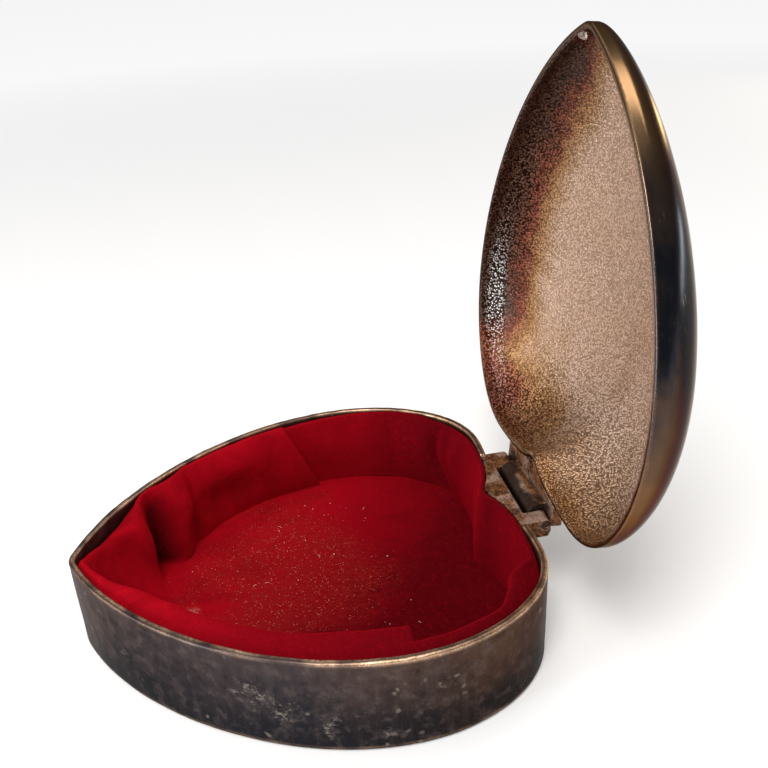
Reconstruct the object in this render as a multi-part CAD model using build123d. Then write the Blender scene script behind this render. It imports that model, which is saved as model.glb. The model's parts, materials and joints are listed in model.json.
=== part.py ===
from build123d import *
import math
import os

# Heart-shaped trinket box, drawn with its lid standing open.
# Frame: +Z up, the hinge's axis along X, the heart's tip towards -Y and its cleft towards +Y.
# The origin is the middle of the heart's length and width, on the base's underside.

# ---- the heart's outline (right half; the left half is its mirror image) ----
WIDTH = 90.0                 # across both lobes
LENGTH = 90.0                # tip to lobe tops
WIDEST_FROM_TIP = 60.0       # where the two sides run parallel
TIP_RADIUS = 5.4
TIP_HALF_ANGLE = 20.5        # half the arc that rounds the tip, degrees
TIP_PULL = 22.4              # how far each curve leaves its end point before it bends
SIDE_PULL = 26.4
SHOULDER_PULL = 13.8
LOBE_TOP_X = 20.8            # sideways from the middle to a lobe's highest point
LOBE_OUTER_PULL = 15.4
LOBE_INNER_PULL = 10.6
CLEFT_DEPTH = 3.4            # from the lobe tops down to the bottom of the cleft
CLEFT_RADIUS = 4.5
CLEFT_SLOPE = 34.5           # steepness of the cleft's sides, degrees
CLEFT_PULL = 1.5
CURVE_STEPS = 10             # points that carry each curve when the outline is drawn in

TIP_Y = -LENGTH / 2
LOBE_Y = LENGTH / 2
WIDEST_Y = TIP_Y + WIDEST_FROM_TIP
CLEFT_Y = LOBE_Y - CLEFT_DEPTH

# ---- cast shells ----
BASE_HEIGHT = 20.5
BASE_DRAFT = 0.45            # the base's wall leans in by this much from rim to underside
BASE_WALL = 1.3
BASE_FLOOR = 1.5
BASE_EDGE_RADIUS = 1.0       # round where the wall meets the underside
RIM_BEVEL = 0.35             # worn outer edge of the base's rim
RIM_GAP = 0.1                # closed lid to base
LID_WALL = 1.3
LID_DEPTH = 20.5             # crown of the dome above the lid's rim
LID_UPRIGHT = 2.0            # the lid's side stands straight this far before the dome starts
DOME_CENTRE_Y = 14.0         # the dome's crown lies over this point
DOME_SHOULDER = 2.2          # higher: flatter crown and fuller shoulder
DOME_ROUND = 1.6             # higher: steeper where the dome meets the side
DOME_STATIONS = 12
DOME_CROWN_FLAT = 0.08       # the last station's size against the rim

# ---- hinge ----
OPEN_ANGLE = 96.0            # from closed to the lid's stop
AXIS_BELOW_RIM = 1.1
AXIS_BEHIND_LOBES = 3.5
PIN_RADIUS = 0.8
PIN_END_RECESS = 0.4         # each end of the pin lies this far inside its ear
KNUCKLE_BORE_CLEARANCE = 0.05
HINGE_HALF_WIDTH = 14.0      # middle of the box to the outer face of each ear
SLOT_WIDTH = 18.2            # between the two ears
SLOT_OFFSET = 1.0            # the slot's middle, to the right of the box's middle
SLOT_BEHIND_LOBES = 0.1      # from the lobe tops back to the slot's front wall
POCKET_FLOOR_GAP = 0.3       # from the knuckle down to the floor that closes the slot
POCKET_FLOOR_THICKNESS = 1.1
POCKET_FLOOR_OVERLAP = 1.5   # the floor runs this far under each ear
EAR_BACK_HEIGHT = 1.6        # the ears' flat back reaches this far below the pin
EAR_HEEL_SET_IN = 0.6        # under the flat, the ears' back leans in by this much
BASE_PLATE_THICKNESS = 3.9
BASE_PLATE_REACH = 8.0       # forward of the lobe tops, past the cleft's wall
KNUCKLE_RADIUS = 2.4
KNUCKLE_SIDE_GAP = 0.3
LID_PLATE_THICKNESS = 2.2
LID_PLATE_REAR = 0.6         # behind the pin; it meets the ears' backs at the stop
LID_PLATE_HALF_WIDTH = 13.8

AXIS_Y = LOBE_Y + AXIS_BEHIND_LOBES
AXIS_Z = BASE_HEIGHT - AXIS_BELOW_RIM
LID_RIM_Z = BASE_HEIGHT + RIM_GAP
PLATE_FRONT_Y = LOBE_Y - BASE_PLATE_REACH
SLOT_FRONT_Y = LOBE_Y + SLOT_BEHIND_LOBES
SLOT_LEFT = SLOT_OFFSET - SLOT_WIDTH / 2
SLOT_RIGHT = SLOT_OFFSET + SLOT_WIDTH / 2

# ---- lining ----
CARD_THICKNESS = 1.0
CARD_GAP = 0.3               # between the card and the foot of the base's wall
VELVET_THICKNESS = 0.9
FLOOR_VELVET_GAP = 0.25
STRIP_GAP = 0.15             # between the wall strips and the foot of the base's wall
STRIP_TOP = 19.6
STRIP_END_GAP = 0.3          # between the ends of neighbouring strips
FAR_SEAM_Y = 5.0             # the front strip ends here on the left wall ...
NEAR_SEAM_Y = 12.0           # ... and here on the right wall
LOBE_SEAM_X = 27.0           # the side strip meets the back strip here, on the right lobe

CARD_TOP = BASE_FLOOR + CARD_THICKNESS
FLOOR_TOP = CARD_TOP + VELVET_THICKNESS
LINING_INSET = BASE_WALL + BASE_DRAFT

BIG = 200.0                  # larger than the box, for cutting regions


def drawn_in(curve, distance):
    """A curve of the outline moved towards the inside, which lies on its left."""
    points = []
    for step in range(CURVE_STEPS + 1):
        at = step / CURVE_STEPS
        way = curve % at
        points.append(curve @ at + Vector(-way.Y, way.X) * distance)
    return Spline(*points, tangents=(curve % 0, curve % 1))


def heart_face(inset=0.0):
    """The heart's outline as a flat face at z = 0, drawn in all round by the inset."""
    tip_centre = (0.0, TIP_Y + TIP_RADIUS)
    cleft_centre = (0.0, CLEFT_Y + CLEFT_RADIUS)
    tip_outline = CenterArc(tip_centre, TIP_RADIUS, -90.0, TIP_HALF_ANGLE)
    cleft_outline = CenterArc(cleft_centre, CLEFT_RADIUS, -90.0, CLEFT_SLOPE)
    tip_end = tip_outline @ 1
    cleft_end = cleft_outline @ 1
    widest = Vector(WIDTH / 2, WIDEST_Y)
    lobe_top = Vector(LOBE_TOP_X, LOBE_Y)
    side = Bezier(
        tip_end,
        tip_end + (tip_outline % 1) * TIP_PULL,
        widest - Vector(0.0, SIDE_PULL),
        widest,
    )
    shoulder = Bezier(
        widest,
        widest + Vector(0.0, SHOULDER_PULL),
        lobe_top + Vector(LOBE_OUTER_PULL, 0.0),
        lobe_top,
    )
    lobe = Bezier(
        lobe_top,
        lobe_top - Vector(LOBE_INNER_PULL, 0.0),
        cleft_end + (cleft_outline % 1) * CLEFT_PULL,
        cleft_end,
    )
    right = [
        CenterArc(tip_centre, TIP_RADIUS - inset, -90.0, TIP_HALF_ANGLE),
        drawn_in(side, inset),
        drawn_in(shoulder, inset),
        drawn_in(lobe, inset),
        CenterArc(cleft_centre, CLEFT_RADIUS + inset, -90.0, CLEFT_SLOPE),
    ]
    left = [mirror(edge, about=Plane.YZ) for edge in right]
    return make_face(right + left)


def heart_slab(inset, bottom, top):
    """A straight-sided heart between two heights."""
    return Pos(0, 0, bottom) * extrude(heart_face(inset), amount=top - bottom, dir=(0, 0, 1))


def heart_taper(low_inset, low_z, high_inset, high_z):
    """A heart whose side leans, between two heights."""
    low = Pos(0, 0, low_z) * heart_face(low_inset)
    high = Pos(0, 0, high_z) * heart_face(high_inset)
    return loft([low, high])


def block(x0, x1, y0, y1, z0, z1):
    """A box given by its two corners."""
    centre = Pos((x0 + x1) / 2, (y0 + y1) / 2, (z0 + z1) / 2)
    return centre * Box(x1 - x0, y1 - y0, z1 - z0)


def rod(radius, x0, x1):
    """A round bar along the hinge's axis."""
    bar = Cylinder(radius, x1 - x0, rotation=(0, 90, 0))
    return Pos((x0 + x1) / 2, AXIS_Y, AXIS_Z) * bar


def dome(inset, depth, foot_z):
    """A puffed heart: the outline shrinks towards the crown as it rises."""
    outline = heart_face(inset)
    stations = [Pos(0, 0, foot_z) * outline]
    last_angle = math.acos(DOME_CROWN_FLAT)
    for step in range(DOME_STATIONS):
        size = math.cos(last_angle * step / (DOME_STATIONS - 1))
        rise = (1 - size ** DOME_SHOULDER) ** (1 / DOME_ROUND)
        height = LID_UPRIGHT + (depth - LID_UPRIGHT) * rise
        ring = scale(Pos(0, -DOME_CENTRE_Y, 0) * outline, by=size)
        stations.append(Pos(0, DOME_CENTRE_Y, LID_RIM_Z + height) * ring)
    straight = loft(stations[:2])
    return straight + loft(stations[1:])


def opened(shape):
    """Swing a part of the closed lid up to its stop."""
    return Pos(0, AXIS_Y, AXIS_Z) * (Rot(-OPEN_ANGLE, 0, 0) * (Pos(0, -AXIS_Y, -AXIS_Z) * shape))


def bar_along_x(profile, x0, x1):
    """A bar whose end view, seen along X and measured from the pin, is the profile."""
    return Pos(x0, AXIS_Y, AXIS_Z) * extrude(Plane.YZ * profile, amount=x1 - x0, dir=(1, 0, 0))


def base_plate_bar():
    """The base's hinge casting before its slot, its pin hole and its front are cut."""
    front = PLATE_FRONT_Y - AXIS_Y
    top = AXIS_BELOW_RIM
    bottom = AXIS_BELOW_RIM - BASE_PLATE_THICKNESS
    profile = make_face([
        Line((front, top), (0, top)),
        CenterArc((0, 0), top, 90, -90),
        Line((top, 0), (top, -EAR_BACK_HEIGHT)),
        Line((top, -EAR_BACK_HEIGHT), (top - EAR_HEEL_SET_IN, bottom)),
        Line((top - EAR_HEEL_SET_IN, bottom), (front, bottom)),
        Line((front, bottom), (front, top)),
    ])
    return bar_along_x(profile, -HINGE_HALF_WIDTH, HINGE_HALF_WIDTH)


def tray_hollow():
    """The space inside the base's wall."""
    lower = heart_taper(LINING_INSET, BASE_FLOOR, BASE_WALL, BASE_HEIGHT)
    return lower + heart_slab(BASE_WALL, BASE_HEIGHT, BASE_HEIGHT + 1)


def make_base_shell():
    """The heart-shaped tray, notched at the cleft for its hinge casting."""
    body = heart_taper(BASE_DRAFT, 0, 0, BASE_HEIGHT)
    body = fillet(body.faces().sort_by(Axis.Z)[0].edges(), BASE_EDGE_RADIUS)
    body = fillet(body.faces().sort_by(Axis.Z)[-1].edges(), RIM_BEVEL)
    return body - tray_hollow() - base_plate_bar()


def pocket_floor():
    """The thin floor under the hinge casting's slot, which makes the slot a pocket for the lid's knuckle."""
    top = AXIS_Z - KNUCKLE_RADIUS - POCKET_FLOOR_GAP
    return block(
        SLOT_LEFT - POCKET_FLOOR_OVERLAP, SLOT_RIGHT + POCKET_FLOOR_OVERLAP,
        SLOT_FRONT_Y, AXIS_Y + AXIS_BELOW_RIM - EAR_HEEL_SET_IN,
        top - POCKET_FLOOR_THICKNESS, top,
    )


def make_base_hinge_plate():
    """The casting that fills the base's cleft: a plate with two ears for the pin and a pocket between them."""
    slot = block(SLOT_LEFT, SLOT_RIGHT, SLOT_FRONT_Y, AXIS_Y + BIG, 0, BIG)
    pin_hole = rod(PIN_RADIUS, -BIG, BIG)
    return base_plate_bar() - tray_hollow() - slot - pin_hole + pocket_floor()


def make_lid_shell():
    """The puffed, hollow lid."""
    closed = dome(0, LID_DEPTH, LID_RIM_Z) - dome(LID_WALL, LID_DEPTH - LID_WALL, LID_RIM_Z - 1)
    return opened(closed)


def make_lid_hinge_plate():
    """The casting in the lid's cleft: a plate with one long knuckle between the ears."""
    plate = block(
        -LID_PLATE_HALF_WIDTH, LID_PLATE_HALF_WIDTH,
        PLATE_FRONT_Y, AXIS_Y + LID_PLATE_REAR,
        LID_RIM_Z, LID_RIM_Z + LID_PLATE_THICKNESS,
    )
    knuckle_left = SLOT_LEFT + KNUCKLE_SIDE_GAP
    knuckle_right = SLOT_RIGHT - KNUCKLE_SIDE_GAP
    knuckle = rod(KNUCKLE_RADIUS, knuckle_left, knuckle_right)
    neck = block(
        knuckle_left, knuckle_right,
        AXIS_Y - KNUCKLE_RADIUS, AXIS_Y + LID_PLATE_REAR,
        AXIS_Z, LID_RIM_Z + LID_PLATE_THICKNESS,
    )
    bore = rod(PIN_RADIUS + KNUCKLE_BORE_CLEARANCE, -BIG, BIG)
    return opened(plate - dome(0, LID_DEPTH, LID_RIM_Z) + knuckle + neck - bore)


def make_hinge_pin():
    """The plain pin, held fast in both ears."""
    half_length = HINGE_HALF_WIDTH - PIN_END_RECESS
    return rod(PIN_RADIUS, -half_length, half_length)


def make_floor_card():
    """The stiff card that the floor's velvet is stuck to."""
    return heart_slab(LINING_INSET + CARD_GAP, BASE_FLOOR, CARD_TOP)


def make_floor_velvet():
    """The velvet covering the tray's floor."""
    return heart_slab(LINING_INSET + FLOOR_VELVET_GAP, CARD_TOP, FLOOR_TOP)


def wall_strip():
    """Velvet all the way round the inside of the wall, before it is cut into strips."""
    outside = LINING_INSET + STRIP_GAP
    inside = outside + VELVET_THICKNESS
    return heart_slab(outside, FLOOR_TOP, STRIP_TOP) - heart_slab(inside, 0, BIG)


def make_front_strip():
    """Velvet round the tip, from the left wall's seam to the right wall's seam."""
    left = block(-BIG, 0, -BIG, FAR_SEAM_Y - STRIP_END_GAP / 2, 0, BIG)
    right = block(0, BIG, -BIG, NEAR_SEAM_Y - STRIP_END_GAP / 2, 0, BIG)
    return wall_strip() & (left + right)


def make_side_strip():
    """Velvet round the outside of the right lobe."""
    region = block(
        LOBE_SEAM_X + STRIP_END_GAP / 2, BIG,
        NEAR_SEAM_Y + STRIP_END_GAP / 2, BIG,
        0, BIG,
    )
    return wall_strip() & region


def make_back_strip():
    """Velvet across the cleft and round the left lobe."""
    region = block(
        -BIG, LOBE_SEAM_X - STRIP_END_GAP / 2,
        FAR_SEAM_Y + STRIP_END_GAP / 2, BIG,
        0, BIG,
    )
    return wall_strip() & region


os.makedirs("parts", exist_ok=True)
export_step(make_base_shell(), "parts/base_shell.step")
export_step(make_base_hinge_plate(), "parts/base_hinge_plate.step")
export_step(make_hinge_pin(), "parts/hinge_pin.step")
export_step(make_lid_shell(), "parts/lid_shell.step")
export_step(make_lid_hinge_plate(), "parts/lid_hinge_plate.step")
export_step(make_floor_card(), "parts/floor_card.step")
export_step(make_floor_velvet(), "parts/floor_velvet.step")
export_step(make_front_strip(), "parts/front_velvet_strip.step")
export_step(make_side_strip(), "parts/side_velvet_strip.step")
export_step(make_back_strip(), "parts/back_velvet_strip.step")
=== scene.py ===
"""Looks of the heart-shaped trinket box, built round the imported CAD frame.

The frame is in metres. Everything here is worked out in millimetres, and turned into metres when a mesh is
made. The heart's outline runs anticlockwise from its tip. "Along" is the distance round it in millimetres:
positive up the right-hand side, negative up the left-hand side.
"""

import json
import math
import random

import bpy
import numpy as np
from mathutils import Matrix, Vector


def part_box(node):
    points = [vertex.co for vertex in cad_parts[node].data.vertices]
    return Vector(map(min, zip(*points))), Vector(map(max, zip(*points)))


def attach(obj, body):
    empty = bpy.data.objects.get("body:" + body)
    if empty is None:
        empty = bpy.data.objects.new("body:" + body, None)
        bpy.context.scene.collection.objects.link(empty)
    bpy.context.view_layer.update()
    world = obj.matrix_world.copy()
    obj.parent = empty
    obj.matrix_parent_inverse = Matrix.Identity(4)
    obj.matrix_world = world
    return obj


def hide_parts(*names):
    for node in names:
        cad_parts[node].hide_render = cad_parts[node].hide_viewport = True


MM = 0.001
SEED = 7

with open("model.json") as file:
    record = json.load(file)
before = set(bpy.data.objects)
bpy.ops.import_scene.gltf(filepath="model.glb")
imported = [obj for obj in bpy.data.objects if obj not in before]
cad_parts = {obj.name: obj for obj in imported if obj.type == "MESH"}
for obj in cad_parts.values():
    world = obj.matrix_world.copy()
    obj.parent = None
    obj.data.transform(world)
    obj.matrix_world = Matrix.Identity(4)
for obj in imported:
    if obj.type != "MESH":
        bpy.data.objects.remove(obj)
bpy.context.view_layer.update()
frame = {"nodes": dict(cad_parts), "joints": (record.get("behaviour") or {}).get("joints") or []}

# --- Sizes in millimetres ---

# Read from the frame
hinge = frame["joints"][0]
HALF_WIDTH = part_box("lid_shell")[1].x / MM
RIM_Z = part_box("base_shell")[1].z / MM
TIP_Y = -HALF_WIDTH
LOBE_Y = HALF_WIDTH
FLOOR_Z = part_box("floor_velvet")[1].z / MM
CARD_FOOT_Z, CARD_Z = (corner.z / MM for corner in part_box("floor_card"))
PLATE_HALF_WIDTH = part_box("base_hinge_plate")[1].x / MM
AXIS_Y = hinge["pos_m"][1] / MM
AXIS_Z = hinge["pos_m"][2] / MM
PIN_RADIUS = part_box("hinge_pin")[1].z / MM - AXIS_Z
OPEN_ANGLE = math.radians(hinge["range_deg"][1])

# The heart's outline, as in the CAD
WIDEST_Y = TIP_Y + HALF_WIDTH * 4 / 3
TIP_RADIUS = 5.4
TIP_HALF_ANGLE = math.radians(20.5)
TIP_PULL = 22.4
SIDE_PULL = 26.4
SHOULDER_PULL = 13.8
LOBE_TOP_X = 20.8
LOBE_OUTER_PULL = 15.4
LOBE_INNER_PULL = 10.6
CLEFT_Y = LOBE_Y - 3.4
CLEFT_RADIUS = 4.5
CLEFT_SLOPE = math.radians(34.5)
CLEFT_PULL = 1.5

PLATE_FOOT_Z = RIM_Z - 3.9   # the tray's rim is cut down to here in the cleft
BASE_DRAFT = 0.45
BASE_WALL = 1.3
BASE_EDGE_RADIUS = 1.0
RIM_BEVEL = 0.45
RIM_INNER_EDGE = 0.15
MIDDLE = (0, WIDEST_Y - 8)   # the point that the rings of the tray's floors shrink to

LID_RIM_Z = RIM_Z + 0.1
LID_WALL = 1.3
LID_DEPTH = 20.5
LID_UPRIGHT = 2.0
LID_EDGE_RADIUS = 0.35
DOME_CENTRE_Y = 14.0
DOME_SHOULDER = 2.2
DOME_ROUND = 1.6
DOME_EVENING = 22.0          # how far round the dome's crown forgets the cleft

PEBBLE_PITCH = 0.72          # bump to bump in the lid's cast lining
PEBBLE_HEIGHT = 0.08
CASTING_VOXEL = 0.16
CASTING_GRAIN = 0.045
VELVET_THICKNESS = 0.9
POCKET_FOOT = -22.5          # the pocket in the front strip, beside the tip's flap
POCKET_TOP = -26.0
POCKET_WIDTH = 2.6


# --- Shape maths ---

def smoothstep(low, high, value):
    """0 at low and beyond it, 1 at high and beyond it, and a smooth change between them."""
    t = np.clip((value - low) / (high - low), 0, 1)
    return t * t * (3 - 2 * t)


def lattice_hash(cells, seed):
    """A repeatable random number from -1 to 1 for every whole-number cell."""
    c = cells.astype(np.int64)
    h = c[..., 0] * 374761393 + c[..., 1] * 668265263 + c[..., 2] * 2147483647 + seed * 1274126177
    h = (h ^ (h >> 13)) * 1274126177
    h = (h ^ (h >> 16)) & 0xFFFFFF
    return h / float(0x7FFFFF) - 1.0


def noise(points, pitch, seed):
    """Smooth random values, mostly from -1 to 1, with features about one pitch across."""
    p = points / pitch + 100.0
    cell = np.floor(p)
    f = p - cell
    f = f * f * f * (f * (f * 6 - 15) + 10)
    total = np.zeros(len(p))
    for corner in np.ndindex(2, 2, 2):
        weight = np.where(corner, f, 1 - f).prod(axis=1)
        total += lattice_hash(cell + corner, seed) * weight
    return total * 1.5


def nearest_seed(points, pitch, seed):
    """Distance, in pitches, from every point to the nearest of a jittered grid of seeds."""
    spot = points / pitch
    corner = np.floor(spot)
    best = np.full(len(spot), 9.0)
    for offset in np.ndindex(3, 3, 3):
        cell = corner + np.array(offset) - 1
        jitter = np.column_stack([lattice_hash(cell, seed + k) for k in range(3)])
        away = cell + 0.5 + 0.45 * jitter - spot
        best = np.minimum(best, np.einsum("ij,ij->i", away, away))
    return np.sqrt(best)


def rough(points, pitch, octaves, seed):
    """Noise with finer and weaker layers added."""
    total = np.zeros(len(points))
    strength = 1.0
    for layer in range(octaves):
        total += strength * noise(points, pitch / 2 ** layer, seed + layer)
        strength *= 0.5
    return total


def bezier(a, b, c, d, count):
    """Points along a cubic curve, its end left out."""
    t = np.linspace(0, 1, count, endpoint=False)[:, None]
    return a * (1 - t) ** 3 + 3 * b * t * (1 - t) ** 2 + 3 * c * t * t * (1 - t) + d * t ** 3


def arc(centre, radius, start, turn, count):
    """Points along an arc, its end left out."""
    t = start + turn * np.linspace(0, 1, count, endpoint=False)
    return centre + radius * np.stack([np.cos(t), np.sin(t)], 1)


def right_half():
    """The outline's right-hand half, from the tip to the cleft."""
    fine = 900
    down = -math.pi / 2
    tip_centre = np.array([0.0, TIP_Y + TIP_RADIUS])
    tip_way = np.array([math.cos(TIP_HALF_ANGLE), math.sin(TIP_HALF_ANGLE)])
    tip_end = tip_centre + TIP_RADIUS * np.array([tip_way[1], -tip_way[0]])
    cleft_centre = np.array([0.0, CLEFT_Y + CLEFT_RADIUS])
    cleft_way = np.array([math.cos(CLEFT_SLOPE), math.sin(CLEFT_SLOPE)])
    cleft_end = cleft_centre + CLEFT_RADIUS * np.array([cleft_way[1], -cleft_way[0]])
    widest = np.array([HALF_WIDTH, WIDEST_Y])
    lobe_top = np.array([LOBE_TOP_X, LOBE_Y])
    up = np.array([0.0, 1.0])
    right = np.array([1.0, 0.0])
    return np.concatenate([
        arc(tip_centre, TIP_RADIUS, down, TIP_HALF_ANGLE, fine // 4),
        bezier(tip_end, tip_end + tip_way * TIP_PULL, widest - up * SIDE_PULL, widest, fine),
        bezier(widest, widest + up * SHOULDER_PULL, lobe_top + right * LOBE_OUTER_PULL, lobe_top, fine),
        bezier(lobe_top, lobe_top - right * LOBE_INNER_PULL,
               cleft_end + cleft_way * CLEFT_PULL, cleft_end, fine),
        arc(cleft_centre, CLEFT_RADIUS, down + CLEFT_SLOPE, -CLEFT_SLOPE, fine // 4),
        [[0.0, CLEFT_Y]],
    ])


def whole_outline():
    """The closed outline with the distance of every point round it."""
    right = right_half()
    left = (right * [-1, 1])[::-1]
    points = np.concatenate([right, left[1:]])
    steps = np.linalg.norm(np.diff(points, axis=0), axis=1)
    return points, np.concatenate([[0.0], np.cumsum(steps)])


OUTLINE, DISTANCE = whole_outline()
ROUND = DISTANCE[-1]


def outline_at(along):
    """Points of the outline at distances from the tip, and the outward directions there."""
    def place(d):
        d = np.mod(d, ROUND)
        return np.stack([np.interp(d, DISTANCE, OUTLINE[:, k]) for k in (0, 1)], 1)

    step = 0.15
    way = place(along + step) - place(along - step)
    way /= np.linalg.norm(way, axis=1)[:, None]
    return place(along), np.stack([way[:, 1], -way[:, 0]], 1)


def softened_outward(along, spread):
    """Outward directions averaged over a stretch of the outline, for cloth that rounds its corners."""
    total = np.zeros((len(along), 2))
    for share in np.linspace(-1, 1, 21):
        weight = math.exp(-2 * share * share)
        total += weight * outline_at(along + share * spread)[1]
    return total / np.linalg.norm(total, axis=1)[:, None]


def inset_ring(along, inset, z):
    """A ring of points at an inset from the outline and a height."""
    points, outward = outline_at(along)
    inset = np.broadcast_to(inset, (len(along),))
    flat = points - outward * inset[:, None]
    return np.column_stack([flat, np.broadcast_to(z, (len(along),))])


def shrunk_ring(ring, size, centre, z):
    """A ring drawn towards a centre, at a height."""
    flat = centre + size * (ring[:, :2] - centre)
    return np.column_stack([flat, np.broadcast_to(z, (len(ring),))])


def wall_inset(z):
    """How far the tray's drafted inner wall stands in from the outline at a height."""
    return BASE_WALL + BASE_DRAFT * (1 - z / RIM_Z)


def quarter(steps):
    """Evenly spaced angles from nothing to a quarter turn."""
    return [step / (steps - 1) * math.pi / 2 for step in range(steps)]


def evened(ring, spread):
    """A ring with its corners and its cleft rounded off over a distance in millimetres."""
    waves = np.fft.fft(ring[:, 0] + 1j * ring[:, 1])
    turns = np.fft.fftfreq(len(ring)) * len(ring)
    waves *= np.exp(-0.5 * (2 * math.pi * turns / ROUND * spread) ** 2)
    flat = np.fft.ifft(waves)
    return np.column_stack([flat.real, flat.imag, ring[:, 2]])


def open_up(points):
    """Swings points of the closed lid up to the pose it is drawn in."""
    c, s = math.cos(-OPEN_ANGLE), math.sin(-OPEN_ANGLE)
    y, z = points[:, 1] - AXIS_Y, points[:, 2] - AXIS_Z
    return np.column_stack([points[:, 0], AXIS_Y + c * y - s * z, AXIS_Z + s * y + c * z])


# --- Mesh helpers ---

def band_faces(rows, columns, closed):
    """Four-sided faces between neighbouring rows of points; a closed band joins its two ends."""
    last = columns if closed else columns - 1
    i = np.arange(rows - 1)[:, None] * columns
    j = np.arange(last)[None, :]
    k = (j + 1) % columns
    return np.stack([i + j, i + k, i + columns + k, i + columns + j], -1).reshape(-1, 4)


def give_values(mesh, values):
    """Puts named values on a mesh's points, for its material to read."""
    for key, numbers in values.items():
        layer = mesh.attributes.new(key, "FLOAT", "POINT")
        layer.data.foreach_set("value", np.asarray(numbers, np.float32))


def make_mesh(name, points, faces, values=None):
    """A smooth-shaded object from millimetre points, with named values on its points."""
    mesh = bpy.data.meshes.new(name)
    mesh.from_pydata((np.asarray(points) * MM).tolist(), [], [list(f) for f in faces])
    mesh.validate()
    give_values(mesh, values or {})
    mesh.shade_smooth()
    mesh.update()
    piece = bpy.data.objects.new(name, mesh)
    bpy.context.scene.collection.objects.link(piece)
    return piece


def capped_rings(name, rings, values=None):
    """A closed skin from rings of points whose first and last rings shrink to a point each."""
    columns = len(rings[0])
    points = np.concatenate(rings)
    faces = band_faces(len(rings), columns, True).tolist()
    first, last = len(points), len(points) + 1
    start = (len(rings) - 1) * columns
    for j in range(columns):
        k = (j + 1) % columns
        faces.append([first, k, j])
        faces.append([last, start + j, start + k])
    points = np.concatenate([points, [rings[0].mean(0)], [rings[-1].mean(0)]])
    for key, v in (values or {}).items():
        values[key] = np.concatenate([v, [v[:columns].mean()], [v[-columns:].mean()]])
    return make_mesh(name, points, faces, values)


def apply_modifiers(piece):
    """Replaces a piece's mesh with the one its modifiers give."""
    graph = bpy.context.evaluated_depsgraph_get()
    mesh = bpy.data.meshes.new_from_object(piece.evaluated_get(graph))
    piece.modifiers.clear()
    piece.data = mesh


def vectors_of(piece, field):
    """The places or the outward directions of a mesh's points, as Blender holds them."""
    numbers = np.zeros(len(piece.data.vertices) * 3)
    piece.data.vertices.foreach_get(field, numbers)
    return numbers.reshape(-1, 3)


def set_points(piece, points):
    """Moves a mesh's points, given in millimetres."""
    piece.data.vertices.foreach_set("co", (points * MM).ravel())
    piece.data.update()


# --- Materials ---

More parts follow.
